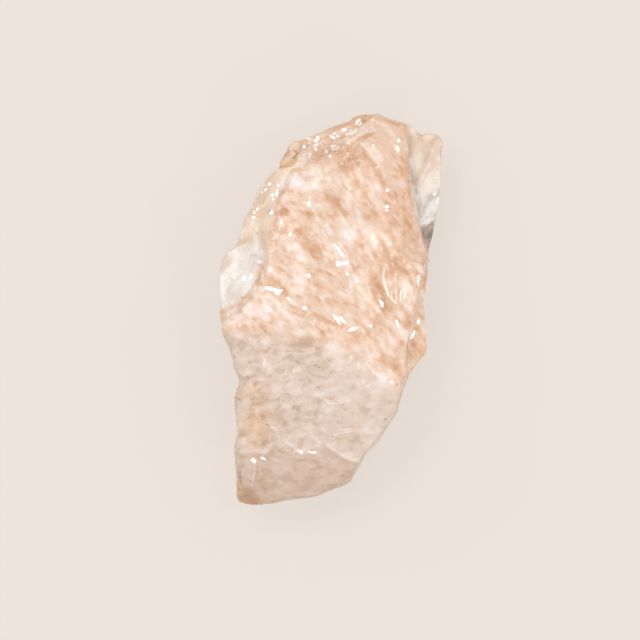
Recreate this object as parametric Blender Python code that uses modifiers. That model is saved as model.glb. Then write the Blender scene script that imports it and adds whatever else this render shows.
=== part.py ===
"""Rough morganite: one broken piece of pale crystal, lying on a small flat spot.

X runs across the stone, Y along it and Z up from the flat spot. The origin is under the
middle of the stone. A blank of the stone's outline is cut by its break faces, its ledges
and scoops are taken out, and the surface is then roughened.
"""

import math
import random

import bmesh
import bpy
from mathutils import Matrix, Vector, noise

MM = 0.001

LENGTH = 39.2 * MM
WIDTH = 22.4 * MM
HEIGHT = 14.6 * MM
REST_CUT = 0.5 * MM

BLANK_DEPTH = 20 * MM
EDGE_LEVEL = 9 * MM
TOP_INSET = 0.07
UNDER_INSET = 0.12
CUTTER_REACH = 2 * BLANK_DEPTH
WELD_GAP = 0.001 * MM
GRAIN = 0.22 * MM
FACES_KEPT = 9200

# The edge seen from above, in millimetres, clockwise from the peak.
OUTLINE = [
    (3.1, 19.6), (4.7, 19.55), (5.5, 19.2), (7.8, 18.65), (8.4, 18.1), (8.6, 17.7),
    (9.1, 17.5), (9.6, 17.7), (10.4, 17.6), (11.1, 17.25), (11.2, 16.4), (11.2, 13.0),
    (10.9, 11.0), (10.3, 8.2), (9.8, 6.0), (9.8, 4.4), (9.4, 3.0), (9.15, 0.8),
    (9.5, -1.8), (9.65, -4.0), (8.25, -5.75), (7.35, -6.85), (6.9, -8.7), (6.6, -10.2),
    (5.6, -11.6), (4.4, -13.2), (3.1, -14.8), (2.3, -16.0), (1.8, -16.95), (1.0, -17.4),
    (-2.2, -18.6), (-5.1, -19.0), (-6.9, -19.4), (-8.0, -19.65), (-9.0, -19.4),
    (-9.5, -18.8), (-9.65, -17.0), (-9.8, -14.5), (-9.6, -12.4), (-9.8, -10.2),
    (-9.7, -8.0), (-9.1, -7.2), (-9.9, -5.6), (-10.4, -4.0), (-11.15, -2.4),
    (-11.2, -0.8), (-11.2, 3.4), (-10.8, 5.2), (-9.9, 6.0), (-9.3, 6.7), (-9.1, 7.7),
    (-8.75, 9.0), (-8.0, 10.2), (-7.3, 11.7), (-6.1, 13.5), (-5.4, 14.2), (-5.35, 15.2),
    (-4.8, 16.7), (-4.2, 17.1), (-2.9, 17.1), (-1.2, 17.65), (0.35, 18.4), (2.5, 19.5),
]

# Break faces that run right across: a point on each in millimetres, the direction it faces
# (degrees round from +X) and how far it leans over from facing straight up (90 is a wall,
# 180 faces down).
BREAK_FACES = {
    "upper face": ((0.0, 0.0, 14.2), 84, 5),
    "lower face": ((0.0, -5.6, 14.7), 249, 14),
    "foot face": ((-2.0, -18.3, 10.8), 262, 50),
    "side left": ((-10.7, 2.0, 7.4), 177, 116),
    "side upper left": ((-7.4, 11.3, 8.0), 149, 113),
    "side crest": ((-1.0, 18.0, 7.8), 112, 110),
    "side peak": ((6.6, 18.5, 7.8), 70, 112),
    "side lower right": ((5.2, -12.1, 10.2), -31, 106),
    "side foot": ((-3.2, -18.85, 7.6), 284, 112),
    "under left": ((-3.5, 1.6, 0.0), 171, 148),
    "under lower left": ((-3.2, -6.0, 0.0), 211, 149),
    "under foot": ((-1.0, -7.2, 0.0), 266, 153),
    "under lower right": ((3.0, -4.0, 0.0), -37, 147),
    "under right": ((4.0, 2.4, 0.0), 9, 143),
    "under window": ((5.4, 11.6, 2.2), 26, 144),
    "under peak": ((1.0, 5.4, 0.0), 78, 155),
    "under crest": ((-3.6, 8.6, 1.2), 130, 142),
}

# Faces, ledges and steps that cover only a part of the stone: the outline of what is taken
# out, in millimetres, and its floor, which is given as a break face is.
BITES = {
    "crest bevel": (
        [(-3.0, 13.9), (-1.0, 15.2), (1.4, 16.0), (3.4, 16.6), (4.9, 17.6), (5.2, 21.0),
         (-6.0, 21.0), (-6.0, 14.0)],
        ((0.2, 15.7, 12.8), 114, 43),
    ),
    "crest step": (
        [(-2.6, 16.3), (-0.6, 16.9), (0.8, 17.2), (2.0, 17.9), (3.2, 18.4), (3.6, 21.0),
         (-3.0, 21.0)],
        ((0.4, 17.3, 10.7), 118, 33),
    ),
    "crest lip": (
        [(-0.4, 15.3), (0.8, 16.0), (2.2, 16.1), (3.4, 16.8), (4.7, 17.5), (5.6, 16.2),
         (4.2, 14.6), (1.4, 13.8)],
        ((3.0, 14.4, 12.9), 114, 14),
    ),
    "peak face": (
        [(3.2, 22.0), (3.6, 17.0), (4.8, 16.2), (7.6, 15.6), (8.4, 22.0)],
        ((5.6, 16.2, 12.7), 78, 30),
    ),
    "peak flank": (
        [(2.9, 15.7), (4.4, 13.0), (7.4, 10.6), (7.6, 16.2), (5.0, 17.4)],
        ((4.6, 13.6, 12.9), 40, 13),
    ),
    "left bevel": (
        [(-3.1, 14.6), (-4.1, 13.2), (-5.6, 10.5), (-6.3, 7.0), (-6.9, 5.4), (-7.6, 3.0),
         (-8.8, 0.8), (-13.0, 0.4), (-13.0, 17.0), (-5.0, 16.4)],
        ((-5.4, 9.6, 13.1), 158, 47),
    ),
    "left shoulder": (
        [(-6.0, 14.2), (-3.9, 14.3), (-3.3, 15.4), (-3.0, 16.4), (-2.2, 18.6), (-6.0, 18.6)],
        ((-4.2, 15.8, 8.8), 150, 20),
    ),
    "ridge strip": (
        [(7.0, 20.0), (7.05, 12.0), (6.95, 6.2), (7.6, 5.0), (9.6, 4.0), (13.0, 4.0),
         (13.0, 20.0)],
        ((7.0, 10.0, 13.2), 4, 36),
    ),
    "window shelf": (
        [(7.2, 21.0), (7.45, 17.0), (7.9, 13.0), (8.05, 11.4), (8.5, 9.5), (8.6, 8.4),
         (9.4, 8.3), (10.6, 8.9), (13.0, 9.6), (13.0, 21.0)],
        ((9.4, 13.0, 9.1), 12, 10),
    ),
    "grey recess": (
        [(8.55, 8.5), (9.4, 8.4), (10.5, 9.0), (13.0, 9.7), (13.0, 1.0), (9.75, 1.0),
         (9.6, 4.0), (9.2, 6.0), (8.8, 7.2)],
        ((9.6, 7.0, 7.2), -12, 30),
    ),
    "right ledge": (
        [(9.7, 5.0), (9.0, 4.8), (8.5, 2.0), (8.1, -0.5), (7.6, -2.5), (7.4, -4.0),
         (7.3, -7.6), (13.0, -8.4), (13.0, 5.0)],
        ((8.8, -1.5, 9.8), -12, 18),
    ),
    "foot step": (
        [(-13.0, -16.4), (-9.4, -15.5), (-2.0, -13.9), (-0.6, -13.5), (0.4, -14.4),
         (1.4, -15.0), (3.2, -15.4), (6.0, -15.6), (6.0, -22.0), (-13.0, -22.0)],
        ((-2.0, -14.0, 12.57), 262, 22),
    ),
    "foot corner": (
        [(-10.4, -16.6), (-8.6, -16.6), (-7.6, -17.4), (-6.8, -18.4), (-6.2, -22.0),
         (-10.4, -22.0)],
        ((-8.2, -17.6, 10.5), 222, 30),
    ),
    "under step": (
        [(-13.0, 6.0), (-6.4, 6.8), (-3.0, 9.6), (-0.6, 14.0), (1.0, 22.0), (-13.0, 22.0)],
        ((-5.0, 12.0, 4.4), 120, 152),
    ),
    "under ledge": (
        [(13.0, -2.0), (7.4, -3.6), (5.6, -6.6), (3.0, -10.6), (0.4, -22.0), (13.0, -22.0)],
        ((5.0, -9.0, 4.8), -30, 156),
    ),
    "side lower left": (
        [(-13.0, -7.0), (-6.0, -7.4), (-6.0, -22.0), (-13.0, -22.0)],
        ((-9.6, -13.0, 8.6), 181, 109),
    ),
    "under lower left step": (
        [(-13.0, -8.4), (-7.0, -7.0), (-3.0, -9.0), (-4.0, -16.0), (-13.0, -18.0)],
        ((-8.9, -12.0, 6.0), 190, 136),
    ),
    "side window": (
        [(13.0, 22.0), (6.0, 22.0), (6.0, 8.6), (13.0, 8.4)],
        ((10.9, 13.0, 7.4), -4, 122),
    ),
    "side recess": (
        [(13.0, 9.0), (5.0, 8.0), (5.0, 4.4), (13.0, 4.0)],
        ((10.1, 6.6, 6.2), -13, 124),
    ),
    "side right": (
        [(13.0, 4.6), (5.0, 5.0), (5.0, -3.4), (13.0, -3.0)],
        ((9.4, 1.0, 6.8), 0, 113),
    ),
    "side ledge end": (
        [(13.0, -2.6), (6.4, -3.0), (5.4, -9.4), (13.0, -9.6)],
        ((8.6, -5.5, 7.4), -37, 110),
    ),
    "side left flank": (
        [(-13.0, 0.4), (-7.0, 0.0), (-7.0, -7.4), (-13.0, -7.2)],
        ((-10.4, -4.0, 9.6), 196, 109),
    ),
}

# Shell-shaped hollows: centre and half sizes in millimetres, and turns about X, Y and Z.
SCOOPS = {
    "upper hollow": ((1.0, 9.6, 42.95), (22.0, 36.0, 30.0), (0, 0, 24)),
    "white scoop": ((-10.9, 4.0, 14.4), (6.0, 4.0, 5.0), (0, 0, 62)),
    "left notch": ((-11.2, -7.2, 10.0), (2.2, 1.5, 7.0), (0, 14, 0)),
    "crest hollow": ((-1.6, 17.0, 13.4), (3.6, 2.2, 3.2), (0, 0, 22)),
    "window hollow": ((10.9, 10.4, 12.0), (2.4, 2.6, 4.0), (0, 0, -6)),
    "side scoop right": ((14.4, -2.0, 2.6), (6.4, 9.0, 5.4), (0, 0, 0)),
    "side scoop left": ((-13.0, 12.6, 1.6), (7.4, 8.0, 5.4), (0, 0, -30)),
    "under scoop": ((-13.0, 0.0, -3.4), (9.0, 9.0, 8.6), (0, 0, 10)),
    "under foot scoop": ((2.0, -20.6, -3.4), (9.0, 9.6, 9.0), (0, 0, -20)),
    "under peak scoop": ((6.4, 20.4, -3.0), (9.0, 9.4, 8.6), (0, 0, 10)),
}

# Flaked edges: the two faces that meet there, the ends seen from above in millimetres, how
# many flakes are off, the radius that each flake curves with and how deep it bites.
FLAKED_EDGES = {
    "crest": ("upper face", "crest bevel", (-2.6, 14.2), (4.6, 17.3), 8, 1.8, 0.36),
    "bevel": ("upper face", "left bevel", (-4.4, 12.8), (-6.9, 5.4), 5, 3.0, 0.20),
    "strip": ("upper face", "ridge strip", (7.0, 17.0), (7.0, 6.6), 4, 3.0, 0.12),
    "foot": ("foot step", "foot face", (-8.0, -18.2), (1.6, -18.0), 6, 2.4, 0.25),
    "lower right": ("lower face", "side lower right", (6.2, -9.8), (3.0, -15.0), 5, 2.6, 0.3),
    "lower left": ("lower face", "side lower left", (-9.3, -8.4), (-9.3, -16.0), 6, 2.2, 0.3),
    "under foot": ("under left", "under foot", (-5.0, -7.0), (-9.0, -14.0), 4, 3.0, 0.5),
    "under right": ("under right", "under lower right", (4.6, -2.0), (9.0, -5.0), 4, 3.0, 0.5),
}

# How much the flakes differ, as shares of their place, size, depth and roundness.
FLAKE_SEED = 7
PLACE_SPREAD = (0.2, 0.8)
SIZE_SPREAD = (0.6, 1.8)
DEPTH_SPREAD = (0.4, 1.3)
ROUND_SPREAD = (0.9, 1.1)
SCOOP_FINENESS = 4
FLAKE_FINENESS = 2

# Roughness of the surface: how far it moves and the width of its lumps.
SWELLS = (0.26 * MM, 5.6 * MM)
LUMPS = (0.10 * MM, 1.9 * MM)
PITS = (0.06 * MM, 1.3 * MM)
LUMP_SHIFT = Vector((7, 0, 0))
PIT_LEVEL = 0.3

STONE_COLOUR = (0.85, 0.61, 0.48, 1.0)
STONE_ROUGHNESS = 0.35


def clear_scene():
    for item in list(bpy.data.objects):
        bpy.data.objects.remove(item, do_unlink=True)


def new_collection(name):
    made = bpy.data.collections.new(name)
    bpy.context.scene.collection.children.link(made)
    return made


def to_metres(point):
    return Vector(point) * MM


def facing(heading, lean):
    """The direction a face looks in."""
    around = math.radians(heading)
    over = math.radians(lean)
    level = Vector((math.cos(around), math.sin(around), 0))
    return level * math.sin(over) + Vector((0, 0, math.cos(over)))


def prism(name, outline, low, high):
    """A closed upright block of an outline, as a mesh, between two heights."""
    curve = bpy.data.curves.new(name, "CURVE")
    curve.dimensions = "2D"
    curve.fill_mode = "BOTH"
    curve.extrude = (high - low) / 2
    spline = curve.splines.new("POLY")
    spline.points.add(len(outline) - 1)
    for point, (x, y) in zip(spline.points, outline):
        point.co = (x * MM, y * MM, 0, 1)
    spline.use_cyclic_u = True
    source = bpy.data.objects.new(name, curve)
    bpy.context.scene.collection.objects.link(source)
    graph = bpy.context.evaluated_depsgraph_get()
    mesh = bpy.data.meshes.new_from_object(source.evaluated_get(graph))
    bpy.data.objects.remove(source, do_unlink=True)
    block = bmesh.new()
    block.from_mesh(mesh)
    bpy.data.meshes.remove(mesh)
    bmesh.ops.remove_doubles(block, verts=block.verts, dist=WELD_GAP)
    bmesh.ops.translate(block, verts=block.verts, vec=(0, 0, (low + high) / 2))
    bmesh.ops.recalc_face_normals(block, faces=block.faces)
    return block


def cut_by_plane(block, point, direction):
    """Takes off what lies in front of a plane and closes the cut."""
    parts = block.verts[:] + block.edges[:] + block.faces[:]
    cut = bmesh.ops.bisect_plane(
        block, geom=parts, plane_co=point, plane_no=direction, clear_outer=True
    )
    rim = [item for item in cut["geom_cut"] if isinstance(item, bmesh.types.BMEdge)]
    if rim:
        bmesh.ops.holes_fill(block, edges=rim, sides=0)
        bmesh.ops.recalc_face_normals(block, faces=block.faces)


def object_from(block, name, collection):
    mesh = bpy.data.meshes.new(name)
    block.to_mesh(mesh)
    block.free()
    made = bpy.data.objects.new(name, mesh)
    collection.objects.link(made)
    return made


def as_cutter(item):
    item.hide_render = True
    item.display_type = "WIRE"


def make_blank(collection):
    """The outline with sloping sides, deeper than the stone, cut by its break faces."""
    block = prism("blank", OUTLINE, -REST_CUT, BLANK_DEPTH)
    parts = block.verts[:] + block.edges[:] + block.faces[:]
    bmesh.ops.bisect_plane(block, geom=parts, plane_co=(0, 0, EDGE_LEVEL), plane_no=(0, 0, 1))
    for vert in block.verts:
        above = max(0, vert.co.z - EDGE_LEVEL)
        below = max(0, EDGE_LEVEL - vert.co.z)
        inset = above * TOP_INSET + below * UNDER_INSET
        away = Vector((vert.co.x, vert.co.y, 0))
        vert.co -= away * inset / (WIDTH / 2)
    for point, heading, lean in BREAK_FACES.values():
        cut_by_plane(block, to_metres(point), facing(heading, lean))
    return object_from(block, "morganite", collection)


def make_bites(collection):
    for name, (outline, floor) in BITES.items():
        point, heading, lean = floor
        block = prism(name, outline, -CUTTER_REACH, CUTTER_REACH)
        cut_by_plane(block, to_metres(point), -facing(heading, lean))
        as_cutter(object_from(block, name, collection))


def make_ball(name, centre, half_sizes, turns, collection, fineness):
    block = bmesh.new()
    bmesh.ops.create_icosphere(block, subdivisions=fineness, radius=1)
    turn = Matrix.Identity(4)
    for angle, axis in zip(turns, "XYZ"):
        turn = Matrix.Rotation(math.radians(angle), 4, axis) @ turn
    stretch = Matrix.Diagonal((*half_sizes, 1))
    bmesh.ops.transform(
        block, verts=block.verts, matrix=Matrix.Translation(centre) @ turn @ stretch
    )
    as_cutter(object_from(block, name, collection))


def make_scoops(collection):
    for name, (centre, half_sizes, turns) in SCOOPS.items():
        make_ball(
            name, to_metres(centre), to_metres(half_sizes), turns, collection, SCOOP_FINENESS
        )


def floor_of(name):
    return BREAK_FACES[name] if name in BREAK_FACES else BITES[name][1]


def height_on(name, x, y):
    """The height of a named face at a place seen from above."""
    point, heading, lean = floor_of(name)
    across = facing(heading, lean)
    start = to_metres(point)
    return start.z - (across.x * (x - start.x) + across.y * (y - start.y)) / across.z


def make_flakes(collection):
    """Shallow round bites where two faces meet, side by side along the edge."""
    draw = random.Random(FLAKE_SEED)
    for name, (one, other, start, end, count, curve, depth) in FLAKED_EDGES.items():
        outward = (facing(*floor_of(one)[1:]) + facing(*floor_of(other)[1:])).normalized()
        start, end = to_metres((*start, 0)), to_metres((*end, 0))
        for number in range(count):
            along = (number + draw.uniform(*PLACE_SPREAD)) / count
            place = start.lerp(end, along)
            place.z = height_on(one, place.x, place.y)
            radius = curve * MM * draw.uniform(*SIZE_SPREAD)
            bite = depth * MM * draw.uniform(*DEPTH_SPREAD)
            turns = [draw.uniform(0, 180) for _ in range(3)]
            half_sizes = Vector(radius * draw.uniform(*ROUND_SPREAD) for _ in range(3))
            centre = place + outward * (radius - bite)
            make_ball(
                f"{name} flake {number}", centre, half_sizes, turns, collection, FLAKE_FINENESS
            )


def bake_modifiers(item):
    """Replaces an object's mesh by what its modifiers make of it."""
    graph = bpy.context.evaluated_depsgraph_get()
    mesh = bpy.data.meshes.new_from_object(item.evaluated_get(graph))
    item.modifiers.clear()
    old = item.data
    item.data = mesh
    bpy.data.meshes.remove(old)


def carve(stone, cutters):
    """Takes the cutters out of the blank and gives the result an even mesh."""
    cut = stone.modifiers.new("bites and scoops", "BOOLEAN")
    cut.operation = "DIFFERENCE"
    cut.solver = "EXACT"
    cut.operand_type = "COLLECTION"
    cut.collection = cutters
    even = stone.modifiers.new("even mesh", "REMESH")
    even.mode = "VOXEL"
    even.voxel_size = GRAIN
    bake_modifiers(stone)


def roughness_at(point):
    """How far the broken surface stands in or out at a point."""
    depth, width = SWELLS
    move = depth * noise.noise(point / width)
    depth, width = LUMPS
    move += depth * noise.noise(point / width + LUMP_SHIFT)
    depth, width = PITS
    near = noise.voronoi(point / width)[0]
    move += depth * (near[1] - near[0] - PIT_LEVEL)
    return move


def roughen(stone):
    block = bmesh.new()
    block.from_mesh(stone.data)
    block.normal_update()
    moves = [(vert, vert.normal * roughness_at(vert.co)) for vert in block.verts]
    for vert, move in moves:
        vert.co += move
    block.to_mesh(stone.data)
    block.free()


def fit_to_size(stone):
    """Brings the mesh to the stone's length, width and height, over the origin."""
    points = [vert.co for vert in stone.data.vertices]
    low = Vector(min(point[axis] for point in points) for axis in range(3))
    high = Vector(max(point[axis] for point in points) for axis in range(3))
    size = Vector((WIDTH, LENGTH, HEIGHT + REST_CUT))
    factors = Vector(size[axis] / (high[axis] - low[axis]) for axis in range(3))
    foot = Vector(((low.x + high.x) / 2, (low.y + high.y) / 2, low.z))
    stone.data.transform(
        Matrix.Translation((0, 0, -REST_CUT))
        @ Matrix.Diagonal((*factors, 1))
        @ Matrix.Translation(-foot)
    )


def keep_few_faces(stone):
    fewer = stone.modifiers.new("fewer faces", "DECIMATE")
    triangles = sum(len(face.vertices) - 2 for face in stone.data.polygons)
    fewer.ratio = FACES_KEPT / triangles
    bake_modifiers(stone)


def cut_flat_spot(stone, cutters):
    """Cuts the underside level where the stone rests."""
    block = bmesh.new()
    bmesh.ops.create_cube(block, size=2 * LENGTH)
    bmesh.ops.translate(block, verts=block.verts, vec=(0, 0, -LENGTH))
    ground = object_from(block, "ground cutter", cutters)
    as_cutter(ground)
    cut = stone.modifiers.new("flat spot", "BOOLEAN")
    cut.operation = "DIFFERENCE"
    cut.solver = "EXACT"
    cut.object = ground


def stone_material():
    made = bpy.data.materials.new("morganite")
    made.use_nodes = True
    shader = made.node_tree.nodes["Principled BSDF"]
    shader.inputs["Base Color"].default_value = STONE_COLOUR
    shader.inputs["Roughness"].default_value = STONE_ROUGHNESS
    shader.inputs["Metallic"].default_value = 0.0
    return made


def main():
    clear_scene()
    parts = new_collection("rough morganite")
    cutters = new_collection("cutters")
    stone = make_blank(parts)
    make_bites(cutters)
    make_scoops(cutters)
    make_flakes(cutters)
    carve(stone, cutters)
    roughen(stone)
    fit_to_size(stone)
    keep_few_faces(stone)
    cut_flat_spot(stone, cutters)
    stone.data.materials.clear()
    stone.data.materials.append(stone_material())


main()
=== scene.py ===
import math

import bmesh
import bpy
import numpy as np
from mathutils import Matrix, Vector, noise
from mathutils.bvhtree import BVHTree


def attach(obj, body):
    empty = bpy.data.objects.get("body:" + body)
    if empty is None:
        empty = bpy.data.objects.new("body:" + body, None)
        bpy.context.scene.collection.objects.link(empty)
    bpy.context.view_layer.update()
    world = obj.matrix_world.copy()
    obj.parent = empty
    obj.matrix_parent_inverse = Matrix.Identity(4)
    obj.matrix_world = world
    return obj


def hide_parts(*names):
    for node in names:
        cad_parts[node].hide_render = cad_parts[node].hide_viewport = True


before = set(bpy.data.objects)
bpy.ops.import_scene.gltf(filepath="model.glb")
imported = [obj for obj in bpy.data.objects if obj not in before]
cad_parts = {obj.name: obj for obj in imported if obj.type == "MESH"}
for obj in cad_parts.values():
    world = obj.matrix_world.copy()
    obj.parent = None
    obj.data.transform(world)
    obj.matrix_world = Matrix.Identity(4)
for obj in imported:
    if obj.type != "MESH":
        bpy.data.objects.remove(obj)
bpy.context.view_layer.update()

mm = 0.001


# Light and camera

studioValues = {
    "backdropColour": (0.83, 0.765, 0.705, 1.0),
    "floorAlbedo": (0.25, 0.23, 0.215, 1.0),
    "floorGlow": 0.70,
    "floorReach": 4.0,
    "skyColour": (1.0, 0.985, 0.97, 1.0),
    "skyStrength": 0.76,
    "keyPlace": (-0.15, 0.15, 0.58),
    "keySize": 0.24,
    "keyPower": 0.40,
    "sparkLamps": [
        ((-0.16, 0.10, 0.60), 0.040, 0.22),
        ((-0.36, 0.28, 0.42), 0.040, 0.20),
        ((0.10, 0.20, 0.58), 0.036, 0.14),
        ((-0.08, -0.18, 0.58), 0.036, 0.10),
        ((0.32, 0.04, 0.48), 0.040, 0.14),
        ((0.20, -0.34, 0.40), 0.040, 0.12),
    ],
    "frameWidth": 64.0 * mm,
    "frameCentre": (-1.1 * mm, -1.0 * mm),
    "lookHeight": 9.0 * mm,
    "cameraHeight": 0.85,
}


def softLamp(name, place, size, power):
    lamp = bpy.data.lights.new(name, "AREA")
    lamp.shape = "DISK"
    lamp.size = size
    lamp.energy = power
    holder = bpy.data.objects.new(name, lamp)
    bpy.context.scene.collection.objects.link(holder)
    holder.location = place
    aim = Vector((0, 0, 0.008)) - Vector(place)
    holder.rotation_euler = aim.to_track_quat("-Z", "Y").to_euler()
    return holder


def makeSky(values):
    world = bpy.data.worlds.new("pale studio")
    world.use_nodes = True
    tree = world.node_tree
    sky = tree.nodes["Background"]
    sky.inputs["Color"].default_value = values["skyColour"]
    sky.inputs["Strength"].default_value = values["skyStrength"]
    behind = tree.nodes.new("ShaderNodeBackground")  # what shows past the end of the floor
    behind.inputs["Color"].default_value = values["backdropColour"]
    ray = tree.nodes.new("ShaderNodeLightPath")
    pick = tree.nodes.new("ShaderNodeMixShader")
    tree.links.new(ray.outputs["Is Camera Ray"], pick.inputs["Fac"])
    tree.links.new(sky.outputs["Background"], pick.inputs[1])
    tree.links.new(behind.outputs["Background"], pick.inputs[2])
    tree.links.new(pick.outputs["Shader"], tree.nodes["World Output"].inputs["Surface"])
    bpy.context.scene.world = world


def makeFloor(values):
    bm = bmesh.new()
    bmesh.ops.create_circle(bm, cap_ends=True, segments=64, radius=values["floorReach"])
    bmesh.ops.translate(bm, verts=bm.verts, vec=(0, 0, -0.02 * mm))
    mesh = bpy.data.meshes.new("pale floor")
    bm.to_mesh(mesh)
    bm.free()
    floor = bpy.data.objects.new("paleFloor", mesh)
    bpy.context.scene.collection.objects.link(floor)
    paint = bpy.data.materials.new("pale floor")
    paint.use_nodes = True
    shader = paint.node_tree.nodes["Principled BSDF"]
    shader.inputs["Base Color"].default_value = values["floorAlbedo"]
    shader.inputs["Roughness"].default_value = 0.9
    shader.inputs["Specular IOR Level"].default_value = 0.1
    shader.inputs["Emission Color"].default_value = values["backdropColour"]
    shader.inputs["Emission Strength"].default_value = values["floorGlow"]
    mesh.materials.append(paint)


def makeCamera(values):
    lens = bpy.data.cameras.new("camera")
    camera = bpy.data.objects.new("camera", lens)
    bpy.context.scene.collection.objects.link(camera)
    x, y = values["frameCentre"]
    camera.location = (x, y, values["cameraHeight"])
    lens.sensor_width = 36.0
    lens.lens = 36.0 * (values["cameraHeight"] - values["lookHeight"]) / values["frameWidth"]
    lens.clip_start = 0.05
    lens.clip_end = 20.0
    bpy.context.scene.camera = camera
    bpy.context.scene.view_settings.view_transform = "Standard"


makeSky(studioValues)
makeFloor(studioValues)
softLamp("key softbox", studioValues["keyPlace"], studioValues["keySize"], studioValues["keyPower"])
for number, (place, size, power) in enumerate(studioValues["sparkLamps"]):
    softLamp(f"spark lamp {number}", place, size, power)
makeCamera(studioValues)
print("studio ready")


# The stone's shape

stoneValues = {
    "grain": 0.285,  # mm between the points of the fine mesh; half of it above, a quarter at the marks
    "softenRounds": 2,
    "softenShare": 0.5,
    "broadFlakes": {"size": 4.6, "bend": 0.16, "tilt": 0.12, "turn": -50, "stretch": (1.5, 0.9, 1.0)},
    "chips": {"size": 1.3, "bend": 0.22, "tilt": 0.85, "turn": 38, "stretch": (1.8, 0.8, 0.8)},
    "crumbs": {"size": 0.6, "bend": 0.25, "tilt": 0.85, "turn": 30, "stretch": (1.5, 0.8, 0.8)},
    "sideFlakes": {"size": 2.9, "bend": 0.20, "tilt": 0.42, "turn": 20, "stretch": (1.3, 0.9, 0.8)},
    "ripples": {"size": 0.9, "bend": 0.22, "tilt": 0.10, "turn": -57, "stretch": (2.2, 0.8, 1.0)},
    "crackDepth": 0.05,
    "threadHeight": 0.02,
    "shelfDepth": 0.08,
    "rimWidth": 0.26,
}

# Regions seen from above, in millimetres: outline and how softly each ends.
regions = {
    "crest": ([(-4.4, 17.3), (-3.4, 14.2), (-1.6, 13.4), (1.6, 14.2), (3.6, 15.2), (5.2, 17.2),
               (4.2, 18.6), (2.4, 19.0), (0.6, 18.4), (-1.6, 17.6)], 0.8),
    "peakRim": ([(1.2, 20.2), (0.6, 18.4), (3.0, 18.5), (4.8, 18.2), (5.6, 20.2)], 0.6),
    "bevel": ([(-3.6, 14.6), (-4.5, 13.0), (-5.8, 10.4), (-6.4, 7.0), (-7.2, 5.4), (-9.2, 5.2),
               (-13.0, 6.2), (-13.0, 14.0), (-6.2, 14.6)], 0.35),
    "amber": ([(-8.0, 10.4), (-5.9, 10.2), (-6.1, 7.4), (-6.7, 6.6), (-8.0, 6.9)], 0.8),
    "cream": ([(-5.2, 13.6), (-5.0, 14.8), (-3.4, 15.3), (-3.1, 14.7), (-4.1, 13.7)], 0.45),
    "smoke": ([(-8.6, 4.8), (-8.3, 6.3), (-6.9, 7.0), (-6.4, 6.0), (-7.3, 4.9)], 0.6),
    "scoop": ([(-6.6, 6.0), (-7.1, 4.4), (-7.6, 2.8), (-8.4, 1.6), (-9.4, 0.7), (-10.2, 0.15),
               (-13.0, 0.3), (-13.0, 5.2), (-9.0, 6.6)], 0.22),
    "shoulder": ([(-6.6, 13.8), (-4.2, 14.3), (-3.5, 15.0), (-3.4, 16.2), (-2.6, 18.2),
                  (-6.6, 18.2)], 0.25),
    "strip": ([(7.0, 20.0), (7.05, 12.0), (6.95, 5.2), (8.0, 4.2), (9.6, 4.6), (9.2, 6.2),
               (8.6, 8.4), (8.5, 9.6), (8.1, 11.4), (7.8, 13.4), (7.5, 17.0), (7.5, 20.0)], 0.2),
    "window": ([(7.6, 15.4), (7.9, 13.4), (8.1, 11.4), (8.5, 9.5), (8.6, 8.4), (9.4, 8.3), (10.2, 8.75),
                (13.0, 9.2), (13.0, 15.4)], 0.25),
    "windowTop": ([(8.0, 21.0), (7.7, 17.0), (7.8, 14.0), (13.0, 14.0), (13.0, 21.0)], 0.75),
    "windowWarm": ([(7.0, 21.0), (7.4, 15.6), (13.0, 16.4), (13.0, 21.0)], 1.2),
    "windowPale": ([(8.0, 12.4), (10.0, 12.2), (13.0, 13.6), (13.0, 8.0), (8.0, 8.0)], 0.9),
    "recess": ([(8.7, 8.5), (9.4, 8.35), (10.2, 8.8), (13.0, 9.2), (13.0, 1.2), (9.6, 1.2),
                (9.5, 4.0), (9.6, 6.2), (9.2, 7.0)], 0.15),
    "ledge": ([(9.6, 5.0), (9.0, 4.8), (8.5, 2.0), (8.1, -0.5), (7.6, -2.5), (7.4, -4.0),
               (7.3, -7.7), (13.0, -8.4), (13.0, 1.6), (9.6, 1.6)], 0.2),
    "lower": ([(-13.0, -1.6), (-9.0, -2.2), (-3.1, -2.9), (1.2, -3.9), (3.9, -5.8), (7.2, -8.4),
               (13.0, -9.0), (13.0, -22.0), (-13.0, -22.0)], 1.3),
    "foot": ([(-13.0, -14.2), (-7.5, -14.3), (-3.2, -14.2), (-0.5, -13.5), (0.6, -14.3),
              (1.5, -14.9), (2.9, -15.2), (6.0, -15.4), (6.0, -22.0), (-13.0, -22.0)], 0.22),
    "footSide": ([(-13.0, -9.4), (-7.8, -9.4), (-6.8, -12.0), (-7.4, -14.6), (-7.8, -17.0),
                  (-8.2, -19.0), (-13.0, -20.0)], 0.7),
    "footCorner": ([(-13.0, -16.8), (-8.9, -17.2), (-7.8, -18.4), (-6.6, -18.9), (-6.0, -22.0),
                    (-13.0, -22.0)], 0.3),
    "calmPeak": ([(-3.2, 17.4), (-1.6, 19.4), (2.6, 20.4), (8.0, 19.4), (7.2, 15.4), (5.6, 14.2), (3.4, 14.6),
                  (1.6, 15.4), (-0.6, 15.2), (-2.4, 15.4), (-3.8, 15.2)], 0.5),
    "calmSide": ([(0.4, -4.4), (3.0, -5.0), (6.6, -7.6), (7.4, -11.0), (3.0, -15.4), (0.4, -14.0), (-0.4, -10.0)], 1.2),
    "flatGrain": ([(-6.5, 14.0), (-3.2, 15.2), (-0.4, 14.2), (-0.6, 10.0), (-2.2, 6.4), (-7.0, 6.4)], 1.4),
    "wavyGrain": ([(-8.0, 6.6), (-2.0, 6.6), (1.2, 4.0), (2.4, -1.0), (0.0, -4.0), (-13.0, -2.0)], 1.6),
}

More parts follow.
